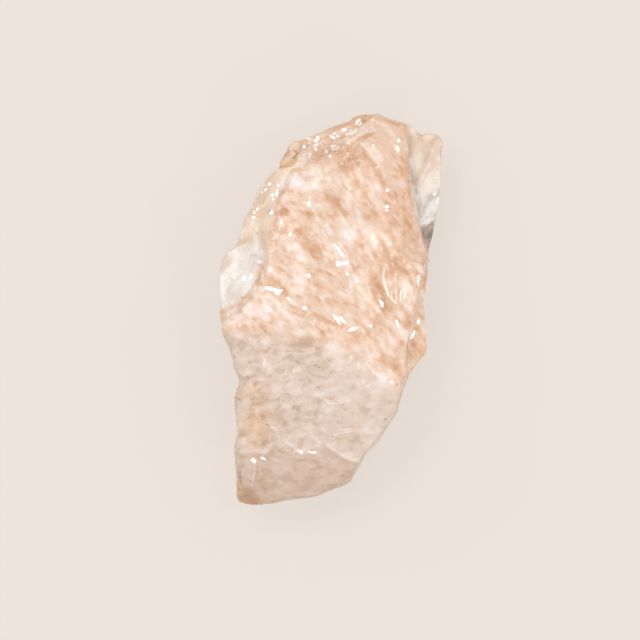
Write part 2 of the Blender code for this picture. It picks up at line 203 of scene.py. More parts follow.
# Marks on the stone, seen from above, in millimetres.
# Soft patches: place, half lengths, heading, softness, how pale (dark below 0), how pink (yellow below 0).
veils = [
    (-2.6, 13, 2.2, 1.8, 0, 0.6, 0.3, 0.4), (-4.1, 12.4, 1.2, 1.2, 0, 0.6, 0.25, 0.5),
    (-5, 8.8, 0.7, 0.6, 45, 0.4, 0.5, 0.5), (-4.1, 6.6, 1.4, 1, 20, 0.5, 0.3, 0.5),
    (-5.8, 4.8, 1.8, 0.7, 80, 0.5, 0.2, 0.4), (2.1, 7.4, 2.7, 1.5, -10, 0.5, 0.45, 0),
    (1.9, 7.4, 0.8, 0.7, 0, 0.4, 0.9, 0), (4, 7.4, 1.2, 0.8, 0, 0.5, 0.5, -0.7),
    (0, 7, 1.4, 0.6, 80, 0.4, 0.4, 0.1), (3.1, 3.3, 0.9, 0.8, 0, 0.4, 0.45, 0.4),
    (-4.2, 3.1, 1.2, 0.6, -10, 0.5, 0.3, 0.4), (1.5, 1.7, 0.9, 0.5, 0, 0.5, 0.25, 0.2),
    (-6.3, -0.6, 3.4, 0.7, 5, 0.5, 0.15, 0.8), (-9.8, -0.2, 0.6, 0.5, 0, 0.4, 0.5, 0.5),
    (-7.9, -0.5, 0.5, 0.3, 0, 0.4, 0.5, 0.5), (-1.9, -1.2, 1.4, 0.4, -20, 0.4, 0.1, 0.6),
    (-0.4, 15.5, 1.8, 0.6, 10, 0.5, -0.45, 0), (2.1, 14.5, 0.9, 0.6, -45, 0.4, -0.5, 0),
    (-0.1, 11.8, 2, 0.5, -57, 0.4, -0.4, 0), (-4.8, 9.8, 0.5, 0.5, 0, 0.4, -0.8, 0),
    (-5.65, 8.8, 0.4, 0.2, 80, 0.4, -0.6, 0), (-5.1, 11.5, 0.8, 0.2, 80, 0.4, -0.5, 0),
    (-2.8, 9, 1.1, 0.9, 0, 0.5, -0.3, 0), (-2.2, 6, 1.6, 0.4, -60, 0.4, -0.5, 0),
    (-0.9, 6.8, 1.2, 0.8, 0, 0.5, -0.3, 0), (-6.6, 4.8, 0.6, 0.2, 80, 0.4, -0.3, 0),
    (-3.4, 2.5, 0.9, 0.2, -10, 0.4, -0.5, 0), (5.5, 1.8, 2.4, 1.4, -80, 0.5, -0.5, -0.1),
    (4.3, 4.2, 1.7, 1, -80, 0.5, -0.3, 0), (7.5, 9.2, 2.2, 0.7, 90, 0.5, -0.4, 0),
    (-9.3, -2.7, 1.5, 1.2, 0, 0.5, -0.35, 0.3), (-2.5, -3.1, 0.7, 0.6, 0, 0.4, -0.8, -0.2),
    (-1, -2.6, 0.4, 0.4, 0, 0.4, -0.6, 0), (-3.6, -3.5, 0.6, 0.4, 0, 0.4, -0.4, 0),
    (0.2, -3.7, 0.9, 0.6, 0, 0.4, 0.6, 0.1), (3.1, -7.5, 3.8, 3.3, -40, 0.5, 0.2, 0),
    (5.3, -7, 1, 0.6, -40, 0.4, 0.7, 0), (-1.5, -8.4, 0.8, 0.6, 0, 0.4, 0.5, 0),
    (-7.6, -8.1, 1.8, 1.1, 0, 0.5, -0.2, -0.6), (-7.4, -11.5, 1.8, 2.2, 0, 0.5, -0.25, -0.8),
    (-7.3, -11.8, 0.6, 0.5, 0, 0.5, -0.1, -0.8), (-8.5, -10.3, 0.4, 0.4, 0, 0.4, 0.5, 0),
    (-6.9, -16.4, 0.9, 0.9, 0, 0.4, -0.4, -0.3), (1.6, -16, 0.8, 0.6, 80, 0.4, -0.4, 0),
    (-1.8, -17, 1, 0.5, 0, 0.4, -0.3, 0), (-4.9, -15.8, 0.9, 0.9, 0, 0.4, 0.35, 0.6),
    (-8.3, -16, 1.2, 0.5, 85, 0.4, 0.3, 0), (-8.1, -18.8, 1.1, 0.6, 0, 0.4, -0.8, -0.5),
    (1.26, 15.14, 0.19, 0.19, 0, 0.3, 0.6, 0.1), (1.02, 14.6, 0.18, 0.14, 0, 0.3, 0.9, 0.1),
    (1.2, 13.36, 0.24, 0.13, -60, 0.3, 0.9, 0.1), (2.8, 14.5, 0.22, 0.16, 0, 0.3, 0.6, 0.1),
    (3.13, 12.5, 0.28, 0.14, -60, 0.3, 0.9, 0.1), (4.56, 12.2, 0.2, 0.13, -30, 0.3, 0.6, 0.1),
    (-8.55, 6, 0.4, 0.2, 0, 0.5, -0.6, -0.3), (-7.7, 5.4, 0.4, 0.16, 5, 0.5, -1.1, 0),
    (-10.25, 4.7, 1.3, 0.35, 62, 0.4, -0.5, 0), (-8.95, 6.2, 0.16, 0.15, 0, 0.4, 0.8, 0),
    (7.6, 14.5, 2.2, 0.5, 88, 0.5, -0.5, -0.2), (9.8, 13.4, 1.2, 0.2, 62, 0.5, 0.6, 0),
    (10.3, 16, 1, 0.2, 80, 0.5, 0.4, 0), (9.1, 11, 0.3, 0.3, 0, 0.5, -0.4, 0),
    (5.6, -0.8, 1.4, 0.8, -70, 0.5, -0.2, 0), (9.6, 10.2, 1, 0.7, 80, 0.5, 0.4, 0.3),
    (8.7, 5.5, 1.4, 0.3, 85, 0.5, 0.4, 0), (-4.9, 8.8, 1.1, 0.7, 75, 0.5, -0.8, -0.2),
    (-5.1, 12.8, 1, 0.6, 80, 0.5, -0.5, -0.3), (6.2, 5.3, 2.6, 0.9, -62, 0.5, -0.8, -0.1),
    (7.7, 4, 0.9, 0.6, 0, 0.5, -0.4, 0), (6.5, 12.5, 3, 0.6, -85, 0.5, -0.3, 0),
    (4.6, 0.4, 0.7, 0.6, 80, 0.5, -0.6, 0), (4.9, -5.2, 1, 0.7, -80, 0.5, -0.5, 0),
    (7, -1.5, 0.8, 0.5, 0, 0.5, -0.4, 0), (-9.4, -1.5, 0.9, 0.6, 0, 0.5, -0.35, 0.1),
    (-6.5, -1.5, 0.7, 0.6, 0, 0.5, -0.3, 0), (-5.6, -13.6, 2.6, 0.5, 5, 0.5, -0.3, -0.1),
    (2.4, -13.5, 1.6, 0.8, -70, 0.5, -0.3, 0), (-10.1, 5.2, 1, 0.6, 60, 0.5, -0.4, -0.3),
    (-8.1, 8.5, 0.7, 0.6, 0, 0.5, -0.3, 0), (10.4, 13.8, 1, 0.5, 85, 0.5, -0.5, -0.2),
    (-8.1, 1.9, 0.7, 0.6, 0, 0.5, 0.6, 0), (-6.1, 0.7, 1, 0.7, 0, 0.5, 0.5, 0.4),
    (-2.3, 1.8, 1.3, 0.8, -20, 0.5, 0.45, 0.1), (2.4, 1.3, 1.2, 0.7, -20, 0.5, 0.25, 0),
    (-3.1, -2, 1.2, 0.6, -25, 0.5, 0.45, 0.3), (10, 8.5, 0.6, 0.4, 60, 0.5, 0.5, 0),
    (10.1, 11.8, 0.5, 0.4, 0, 0.5, 0.5, 0), (-4.4, 14.8, 0.7, 0.5, 40, 0.5, 0.6, -0.2),
    (7.9, 6.7, 1, 0.5, 80, 0.5, 0.4, 0), (9.3, 0.5, 1.2, 0.3, 85, 0.5, 0.6, 0),
    (-5.9, -11.2, 0.9, 1, 0, 0.5, 0.3, 0), (-2.1, 17.9, 1.4, 0.4, 25, 0.5, 0.4, 0.3),
]
# Broken facets: outline, how pale, how pink, slopes.
facets = [
   
    ([(0.04, 17.77), (0.22, 18.32), (1.04, 18.68), (2.58, 19.45), (3.13, 19.5), (2.85, 19.05), (2.22, 18.64), (0.95, 18.14)], -0.5, 0.3, 0.1, -0.2),
    ([(3.13, 19.5), (4.4, 19.55), (4.04, 19.05), (3.3, 18.64), (2.95, 18.86)], -0.5, 0, -0.1, 0.1),
    ([(2.85, 18.14), (3.3, 18.5), (4.04, 18.68), (4.58, 17.77), (3.5, 17.68), (2.76, 17.6)], 0.55, 0.4, 0.1, -0.1),
    ([(0.2, 16.77), (1.13, 17.05), (2.13, 17.14), (2.95, 17.68), (4.5, 17.68), (3.5, 17.32), (2.22, 16.77), (1.3, 16.6)], 0.4, 0.5, -0.05, 0.2),
    # Painted shadow: this facet is darkened as the shade under the raised lip at the crest; its slope is real relief.
    ([(2.4, 16.82), (2.85, 17.36), (3.76, 17.6), (4.4, 17.6), (3.5, 17.1), (2.58, 16.73)], -0.9, 0, 0, -0.25),
    ([(0.8, 16.5), (2.5, 16.65), (3.1, 16.1), (3.7, 15.1), (3.1, 14.95), (1.9, 15.14), (0.8, 15.6)], -0.35, 0, 0, 0),
    ([(2.72, 16.68), (3.85, 16.64), (4.4, 16.32), (5.22, 15.6), (5.26, 14.86), (4.67, 14.5), (4.04, 15.05), (3.58, 15.77)], 0.6, 0.1, 0.1, 0.08),
    ([(3.04, 16.32), (3.58, 15.6), (4.04, 14.95), (4.7, 14.3), (4.1, 14.15), (3.3, 15.05)], -0.6, 0, 0, 0),
    ([(4.22, 18.77), (5.13, 18.68), (5.85, 18.32), (6.4, 17.4), (6.5, 17.05), (5.95, 17.23), (5.3, 18.14)], 0.6, -0.15, 0.08, 0.05),
    ([(4.95, 19.05), (6.22, 18.77), (7.13, 18.6), (6.58, 18.23), (5.95, 18.5)], -0.6, -0.3, 0, 0.1),
    ([(-1.33, 16.68), (-0.5, 17.32), (0.04, 17.05), (-0.15, 16.4), (-0.7, 15.95), (-1.42, 16.14)], -0.2, 0.6, -0.1, 0.1),
    ([(-3.5, 14.6), (-2.87, 15.32), (-1.96, 15.95), (-2, 15.23), (-2.87, 14.32), (-3.5, 14.14)], 0.5, 0.5, 0.1, -0.15),
    ([(-2.7, 16.7), (-1.8, 17.4), (-1, 17.7), (-0.1, 18.05), (-0.4, 17.4), (-1.3, 16.9), (-2.3, 16.4)], 0.15, 0.6, 0.1, 0.05),
    ([(0.5, 17.9), (1.4, 18.35), (2.1, 18.35), (1.9, 17.9), (0.9, 17.5), (0.3, 17.5)], 0.35, 0.6, 0.05, -0.15),
    ([(-7.15, 3.7), (-6.7, 2.3), (-7.6, 2.6)], -0.9, 0, 0, 0),
    ([(-5.1, 9.3), (-4.55, 8.2), (-5.6, 8.3)], 0.3, 0.5, 0, 0),
]
# Small bright breaks: place, half lengths and heading. Each is tilted to throw a small lamp upwards, and its base
# colour is also whitened as painted highlight.
glints = [
    (2.67, 18.82, 0.32, 0.14, 55), (2.95, 18.55, 0.17, 0.11, 70), (1.26, 18, 0.26, 0.16, 20),
    (2.04, 17.73, 0.21, 0.28, 0), (2.45, 17.86, 0.15, 0.28, 0), (1.58, 17.55, 0.17, 0.12, 0),
    (0.35, 17.64, 0.16, 0.11, 20), (0.67, 17.36, 0.13, 0.1, 0), (0.17, 17.27, 0.26, 0.1, -38),
    (-1.46, 17.05, 0.33, 0.18, 48), (-2.33, 17.15, 0.22, 0.1, -15), (-2.74, 16.3, 0.18, 0.1, 32),
    (-1.5, 16.48, 0.21, 0.09, 35), (-1.53, 16.05, 0.13, 0.1, 0), (0.22, 16.34, 0.3, 0.08, 6),
    (0.22, 16.03, 0.3, 0.08, 6), (0.68, 16.16, 0.17, 0.13, 55), (-0.46, 15.82, 0.16, 0.15, 0),
    (-0.07, 15.25, 0.16, 0.1, -45), (1.7, 16.6, 0.11, 0.11, 0), (-2.65, 15.5, 0.28, 0.07, 38),
    (-2.1, 15.55, 0.22, 0.07, 75), (4.13, 18.95, 0.1, 0.09, 0), (6.75, 16.9, 0.19, 0.15, 75),
    (6.63, 16.05, 0.26, 0.11, -75), (4.22, 16.36, 0.12, 0.1, 0), (-5.33, 13.95, 0.23, 0.2, 0),
    (-5.28, 12.45, 0.11, 0.1, 0), (-6.13, 12.57, 0.17, 0.12, 50), (-6.72, 12.48, 0.14, 0.09, -30),
    (-6.5, 12.02, 0.16, 0.1, 20), (-6.86, 11.72, 0.1, 0.1, 0), (-7.2, 11.8, 0.14, 0.09, 40),
    (-7.4, 11.4, 0.11, 0.11, 0), (-7.6, 10.95, 0.1, 0.15, 0), (-5.85, 11.5, 0.14, 0.12, 0),
    (-5.38, 11.65, 0.27, 0.12, 82), (-5.75, 11.05, 0.1, 0.1, 0), (-5.27, 12.48, 0.12, 0.09, 0),
    (-7.8, 10.3, 0.11, 0.1, 0), (-7.35, 10.08, 0.14, 0.11, 30), (-7.63, 9.75, 0.13, 0.1, 20),
    (-7.72, 9.25, 0.17, 0.08, 10), (-5.92, 9.72, 0.2, 0.18, -20), (10.4, 11.7, 0.3, 0.16, 85),
    (10.7, 11, 0.36, 0.16, 70), (-8.7, 3.2, 0.23, 0.17, 65), (-7.98, 3.35, 0.19, 0.12, 75),
    (-7.2, 4.8, 0.3, 0.14, -5), (-4.2, 1.1, 0.2, 0.1, -45), (-2.65, 0.22, 0.2, 0.19, 0),
    (-2.22, 3.43, 0.2, 0.19, 0), (-4.1, 7.53, 0.12, 0.11, 0), (-2.2, 10.6, 0.21, 0.13, -70),
    (0.8, 5.9, 0.68, 0.1, -52), (1.6, 3.6, 0.16, 0.11, -20), (0.55, -0.9, 0.5, 0.11, -50),
    (1.15, -1, 0.4, 0.11, -50), (2.2, -1.9, 0.42, 0.14, 20), (3.9, -1.6, 0.18, 0.13, 20),
    (5.57, 10.25, 0.17, 0.14, 60), (5.52, 9.9, 0.12, 0.11, 0), (5.6, 11.9, 0.12, 0.11, 0),
    (8.7, 3, 0.5, 0.17, 85), (8.15, -2.5, 0.4, 0.13, 60), (8.75, -1.2, 0.24, 0.13, 85),
    (-3, -14.15, 0.26, 0.1, -20), (-1.9, -14.2, 0.34, 0.08, -3), (-7.75, -15, 0.3, 0.22, -25),
    (-6.75, -14.8, 0.28, 0.11, -25), (5, 0.7, 0.36, 0.12, -65), (6.6, -1.4, 0.36, 0.11, -75),
]
# Larger bright breaks: outline. Tilted like the small ones, with the same painted highlight in the base colour.
breaks = [
   
    [(-6.7, 2.1), (-6.4, 2.35), (-5.5, 2.15), (-4.7, 1.95), (-5, 1.75), (-5.2, 1.45), (-5.5, 1.55), (-5.8, 1.9)],
    [(0.48, 4.83), (1.07, 4.75), (1.73, 4.92), (1.65, 4.5), (1.07, 4.5), (0.65, 4.25), (0.5, 4.5)],
]
# Pale threads inside the stone: course, half width, how pale.
threads = [
    ([(5.3, 4.2), (5.2, 3.4), (5.4, 2.3), (5.8, 1.4), (6.4, 0.7)], 0.1, 1.6),
    ([(5.7, 1.4), (5.6, 2.2)], 0.08, 1.3), ([(6.1, 1), (6, 1.9)], 0.08, 1.3),
    ([(6.5, 0.7), (6.5, 1.8)], 0.08, 1.5), ([(6.9, 0.8), (7, 1.9)], 0.08, 1.3),
    ([(7.3, 1.1), (7.5, 2.1)], 0.08, 1.3), ([(6.4, 2.9), (6.5, 3.6)], 0.1, 1),
    ([(5.9, 2.4), (6.4, 3.2)], 0.07, 0.8), ([(-2.3, 10.7), (-1.7, 9.9), (-1.3, 8.9)], 0.1, 0.9),
    ([(1.7, 11.7), (2.3, 11), (2.8, 10.3)], 0.1, 0.7), ([(3.6, 10.9), (4, 10.1)], 0.1, 0.7),
    ([(-0.9, 7.9), (-0.4, 7.2)], 0.1, 0.7), ([(-1.1, 6.4), (-0.4, 5.4)], 0.1, 0.7),
    ([(3.7, 6.3), (4.1, 5.1)], 0.11, 0.7), ([(1.5, 3.9), (2.1, 2.7)], 0.1, 0.7),
    ([(-6.8, 3.9), (-6.76, 2.9)], 0.08, 1), ([(-4.2, 1.1), (-3.65, 0.45)], 0.06, 0.9),
    ([(-0.6, -8.9), (-0.2, -9.3), (0.9, -9.3), (1.9, -9)], 0.1, 0.8),
    ([(0.8, -12), (1.9, -11.9)], 0.1, 0.6), ([(-0.6, -13.3), (0.6, -12.3), (2.2, -12.1)], 0.08, 0.5),
    ([(-0.4, -13.5), (0.6, -14.2), (1.4, -14.75), (2.9, -15.15)], 0.1, 0.8),
    ([(-7.7, -15.4), (-7.6, -16), (-7.9, -17.5)], 0.09, 0.9),
    ([(-4.4, -13.2), (-3.8, -13.6), (-3.2, -14.1)], 0.16, 0.7),
    ([(3.5, -5.3), (4.5, -6.3), (5.3, -6.9), (6.5, -7.4)], 0.13, 0.6),
    ([(-8.85, 8.1), (-9.05, 7.2)], 0.13, 1.6), ([(-9.75, 5.9), (-10.2, 5.55)], 0.11, 1.6),
    ([(-10.92, 3.4), (-10.96, 0.7)], 0.09, 1.6), ([(-8.4, 1.8), (-7.7, 2.7), (-7.3, 3.5)], 0.08, 0.5),
]
# Dark cracks: course, half width, how dark.
cracks = [
    ([(-3.7, 15.95), (-3.33, 15.7), (-3.5, 15.4), (-3.78, 15.18)], 0.08, 0.8),
    ([(-4, 13.9), (-4.4, 13.2), (-4.7, 12.6)], 0.06, 0.5), ([(-7.65, 7.9), (-7.42, 7.5)], 0.05, 0.7),
    ([(-5.95, 7.95), (-6.4, 7.45)], 0.05, 0.6), ([(-9.2, -16.2), (-9.05, -17.3)], 0.12, 0.7),
    ([(-10, -4), (-9.5, -5.6)], 0.09, 0.6), ([(-9.3, -8.8), (-8.9, -9.2)], 0.1, 0.5),
    ([(-6.6, 11), (-6.9, 10.6)], 0.06, 0.6), ([(-6.35, 9.75), (-6.25, 9.97), (-6.1, 9.95)], 0.07, 0.8),
    ([(7.8, 12.9), (8, 12.8)], 0.14, 0.6), ([(8.5, 12), (8.6, 11.6)], 0.11, 0.6),
    ([(0.9, 17.24), (1.3, 17.28)], 0.08, 0.5), ([(-0.15, 16.45), (-0.13, 16.1)], 0.07, 0.5),
]
# Dark specks: place and radius.
specks = [
    (-6.87, 7.75, 0.08), (-7.77, 8.05, 0.08), (-3.7, -9.77, 0.11), (-4.7, -9, 0.12), (0.15, -12.6, 0.1),
    (-2.8, -17.1, 0.1), (-8.05, -5.1, 0.1), (5.7, -7, 0.09), (6.5, -7.4, 0.12), (4.43, 3.13, 0.08),
    (7.28, 6.12, 0.08), (6.3, 15.2, 0.07), (5.4, -10.8, 0.14), (5.8, -9.2, 0.1), (4.9, -9.9, 0.09),
    (-1.2, -5.7, 0.1), (9.6, 9.3, 0.09), (9, 9.4, 0.08), (1.9, 1.4, 0.06), (-0.46, 17.66, 0.07),
    (0.15, 17, 0.1), (-2.28, 16.55, 0.08), (1.72, 17.73, 0.05), (-8.85, 1.2, 0.1),
]


def closeToMarks(spots):
    near = insideRegion(spots, "crest") > 0.4
    for x, y, long, wide, heading in glints:
        near |= np.hypot(spots[:, 0] - x, spots[:, 1] - y) < max(long, wide) + 0.18
    for outline in breaks:
        near |= depthInside(spots, outline) > -0.18
    for course, wide, strength in threads + cracks:
        near |= lineGap(spots, course) < wide + 0.12
    return near


def copyOfNode(node, grain):
    bm = bmesh.new()
    bm.from_mesh(node.data)
    bmesh.ops.remove_doubles(bm, verts=bm.verts, dist=0.0005 * mm)
    surface = BVHTree.FromBMesh(bm)
    mesh = bpy.data.meshes.new("stone source")
    bm.to_mesh(mesh)
    bm.free()
    source = bpy.data.objects.new("stoneSource", mesh)
    bpy.context.scene.collection.objects.link(source)
    even = source.modifiers.new("even mesh", "REMESH")
    even.mode = "VOXEL"
    even.voxel_size = grain * mm
    graph = bpy.context.evaluated_depsgraph_get()
    fine = bpy.data.meshes.new_from_object(source.evaluated_get(graph))
    bpy.data.objects.remove(source, do_unlink=True)
    bm = bmesh.new()
    bm.from_mesh(fine)
    bm.normal_update()
    upper = {edge for face in bm.faces if face.normal.z > 0.2 for edge in face.edges}
    bmesh.ops.subdivide_edges(bm, edges=list(upper), cuts=1, use_grid_fill=True)
    bm.normal_update()
    upper = list({edge for face in bm.faces if face.normal.z > 0.1 for edge in face.edges})
    middles = np.array([(edge.verts[0].co + edge.verts[1].co).xy * 0.5 for edge in upper]) / mm
    marked = [upper[row] for row in np.nonzero(closeToMarks(middles))[0]]
    bmesh.ops.subdivide_edges(bm, edges=marked, cuts=1, use_grid_fill=True)
    for vert in bm.verts:
        vert.co = surface.find_nearest(vert.co)[0]
    return fine, bm


def soften(bm, rounds, share):
    for _ in range(rounds):
        bmesh.ops.smooth_vert(
            bm, verts=bm.verts, factor=share, use_axis_x=True, use_axis_y=True, use_axis_z=True
        )


def placesOf(bm):
    return np.array([vert.co for vert in bm.verts]) / mm


def depthInside(spots, outline):
    corners = np.array(outline)
    following = np.roll(corners, -1, axis=0)
    nearest = np.full(len(spots), 1e9)
    crossings = np.zeros(len(spots), int)
    for start, end in zip(corners, following):
        run = end - start
        along = np.clip(((spots - start) @ run) / (run @ run), 0, 1)
        gap = np.hypot(*(spots - start - along[:, None] * run).T)
        nearest = np.minimum(nearest, gap)
        spans = (start[1] > spots[:, 1]) != (end[1] > spots[:, 1])
        if end[1] != start[1]:
            at = start[0] + (spots[:, 1] - start[1]) * run[0] / run[1]
            crossings += spans & (spots[:, 0] < at)
    return np.where(crossings % 2 == 1, nearest, -nearest)


def insideRegion(spots, name):
    outline, blur = regions[name]
    return fade(-depthInside(spots, outline), -blur, blur)


def wobble(places, size, reach):
    moved = places[:, :2].copy()
    for row, place in enumerate(places):
        shift = noise.noise_vector(Vector(place) / size)
        moved[row, 0] += shift.x * reach
        moved[row, 1] += shift.y * reach
    return moved


def ovalGap(spots, place, halves, heading):
    turn = math.radians(heading)
    dx = spots[:, 0] - place[0]
    dy = spots[:, 1] - place[1]
    along = (dx * math.cos(turn) + dy * math.sin(turn)) / halves[0]
    across = (dy * math.cos(turn) - dx * math.sin(turn)) / halves[1]
    return np.hypot(along, across)


def lineGap(spots, course):
    nearest = np.full(len(spots), 1e9)
    for start, end in zip(np.array(course[:-1]), np.array(course[1:])):
        run = end - start
        along = np.clip(((spots - start) @ run) / (run @ run), 0, 1)
        nearest = np.minimum(nearest, np.hypot(*(spots - start - along[:, None] * run).T))
    return nearest


def fade(gap, full, none):
    share = np.clip((none - gap) / (none - full), 0, 1)
    return share * share * (3 - 2 * share)


def flakeRelief(places, where, values):
    relief = np.zeros(len(places))
    size, bend, tilt = values["size"], values["bend"], values["tilt"]
    turn = math.radians(values["turn"])
    long, wide, deep = values["stretch"]
    for row in np.nonzero(where > 0.01)[0]:
        x, y, z = places[row] / size
        place = Vector(((x * math.cos(turn) + y * math.sin(turn)) / long,
                        (y * math.cos(turn) - x * math.sin(turn)) / wide, z / deep))
        gaps, seeds = noise.voronoi(place)
        lowest = 1e9
        for gap, seed in zip(gaps, seeds):
            lean = noise.cell_vector(seed * 31.7) - Vector((0.5, 0.5, 0.5))
            lowest = min(lowest, bend * gap * gap + tilt * lean.dot(place - seed))
        relief[row] = lowest * size
    return relief * where


def rimShare(places, width):
    # How near each point is to the outline seen from above.
    cell = 0.1
    size = 480
    columns = np.clip(((places[:, 0] + 24.0) / cell).astype(int), 0, size - 1)
    lines = np.clip(((places[:, 1] + 24.0) / cell).astype(int), 0, size - 1)
    filled = np.zeros((size, size))
    for right in (-1, 0, 1):
        for up in (-1, 0, 1):
            filled[lines + up, columns + right] = 1.0
    reach = int(round(width / cell))
    for axis in (0, 1):
        filled = sum(np.roll(filled, step, axis) for step in range(-reach, reach + 1)) / (2 * reach + 1)
    return filled[lines, columns]


def halfwayNormals(lamps):
    found = []
    for place, size, power in lamps:
        toLamp = (Vector(place) - Vector((0, 0, 0.010))).normalized()
        found.append((toLamp + Vector((0, 0, 1))).normalized())
    return np.array(found)


def layGlints(moved, normals, lamps):
    # Each small break is turned so that it throws one of the small lamps upwards. The mask it returns makes the breaks
    # glossy and also paints them white as painted highlight.
    glossAndPaintedGlint = np.zeros(len(moved))
    turned = halfwayNormals(lamps)
    upper = np.nonzero(normals[:, 2] > 0.1)[0]
    spots = wobble(moved[upper], 0.28, 0.10)
    gaps = [(ovalGap(spots, (x, y), (long, wide), heading) - 1) * wide for x, y, long, wide, heading in glints]
    gaps += [-depthInside(spots, outline) for outline in breaks]
    for gap in gaps:
        near = upper[gap < 0.2]
        gap = gap[gap < 0.2]
        inside = near[gap < 0.02]
        if not len(inside):
            continue
        middle = moved[inside].mean(axis=0)
        facing = normals[inside].mean(axis=0)
        best = turned[np.argmax(turned @ facing)]
        slopes = -best[:2] / best[2]
        level = middle[2] + (moved[near, :2] - middle[:2]) @ slopes
        shift = np.clip(level - moved[near, 2], -stoneValues["shelfDepth"], stoneValues["shelfDepth"])
        moved[near, 2] += fade(gap, 0.05, 0.14) * shift
        glossAndPaintedGlint[near] = np.maximum(glossAndPaintedGlint[near], fade(gap, -0.02, 0.06))
    return glossAndPaintedGlint


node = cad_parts["morganite"]
fine, bm = copyOfNode(node, stoneValues["grain"])
soften(bm, stoneValues["softenRounds"], stoneValues["softenShare"])
bm.normal_update()
places = placesOf(bm)
normals = np.array([vert.normal for vert in bm.verts])
print("fine mesh", len(bm.verts), "points", len(bm.faces), "faces")

# Below the outline the regions run out unevenly.
down = fade(normals[:, 2], -0.05, 0.30)
loose = places[:, :2] + (wobble(places, 1.1, 1.0) - places[:, :2]) * (0.22 + 1.3 * down)[:, None]
share = {name: insideRegion(loose, name) for name in regions}
for name in ("bevel", "amber", "cream", "smoke", "scoop", "shoulder", "strip", "window", "windowTop",
             "recess", "ledge"):
    share[name] *= 1 - down
print("regions ready")

everywhere = np.ones(len(places))
chipped = np.clip(share["crest"] + 0.8 * share["peakRim"] + 0.4 * share["bevel"]
                  + 0.3 * share["ledge"] + 0.3 * share["footSide"] + 0.5 * share["shoulder"], 0, 1)
relief = flakeRelief(places, everywhere, stoneValues["broadFlakes"]) * 0.35
relief += flakeRelief(places, down, stoneValues["sideFlakes"]) * 0.5
relief += flakeRelief(places, chipped, stoneValues["chips"]) * 0.45
relief += flakeRelief(places, np.clip(share["crest"] + 0.5 * share["bevel"], 0, 1),
                      stoneValues["crumbs"]) * 0.35
relief += flakeRelief(places, np.clip(1 - share["lower"] - chipped, 0, 1), stoneValues["ripples"]) * 0.3
print("flakes ready")

tone = np.zeros(len(places))
blush = np.zeros(len(places))
for x, y, long, wide, heading, soft, pale, pink in veils:
    amount = fade(ovalGap(loose, (x, y), (long, wide), heading), 1 - soft, 1 + soft)
    tone += pale * amount
    blush += pink * amount
upward = normals[:, 2] > 0.1
tilts = np.zeros(len(places))
for outline, pale, pink, slopeX, slopeY in facets:
    amount = fade(-depthInside(places[:, :2] * 0.6 + loose * 0.4, outline), -0.03, 0.05) * upward
    tone += pale * amount
    blush += pink * amount
    centre = np.array(outline).mean(axis=0)
    tilts += amount * ((places[:, :2] - centre) @ np.array([slopeX, slopeY]))
relief += tilts
for course, wide, pale in threads:
    amount = fade(lineGap(places[:, :2], course), wide * 0.4, wide * 1.5) * upward
    tone += pale * amount * 1.2
    relief += amount * stoneValues["threadHeight"]
dark = np.zeros(len(places))
for course, wide, depth in cracks:
    amount = fade(lineGap(places[:, :2], course), wide * 0.4, wide * 1.6) * upward
    dark = np.maximum(dark, amount * depth)
    relief -= amount * depth * stoneValues["crackDepth"]
for x, y, wide in specks:
    amount = fade(ovalGap(places, (x, y), (wide, wide), 0), 0.5, 1.4) * upward
    dark = np.maximum(dark, amount)
edge = rimShare(places, stoneValues["rimWidth"])
# Painted highlight: near the outline the base colour is made pale and warm; the same mask also flattens the relief
# there and lowers roughness.
rim = fade(edge, 0.55, 0.8)
# Painted shade: a darker, less pink line just inside the rim.
paintedInnerShade = fade(np.abs(edge - 0.9), 0.03, 0.1) * upward
tone -= 0.4 * paintedInnerShade
blush -= 0.5 * paintedInnerShade

relief = (relief - np.median(relief)) * (1 - 0.95 * rim)
moved = places + normals * relief[:, None]
glossAndPaintedGlint = layGlints(moved, normals, studioValues["sparkLamps"])
moved[:, 2] = np.maximum(moved[:, 2], 0.0)
for vert, place in zip(bm.verts, moved):
    vert.co = Vector(place) * mm
bm.to_mesh(fine)
bm.free()
fine.shade_smooth()
shares = dict(share, tone=tone, blush=blush, dark=dark, rim=rim, glossAndPaintedGlint=glossAndPaintedGlint)
for name, values in shares.items():
    fine.attributes.new(name, "FLOAT", "POINT").data.foreach_set("value", values.astype(np.float32))
print("relief", relief.min(), relief.max(), "triangles", sum(len(face.vertices) - 2 for face in fine.polygons))


# The stone's material

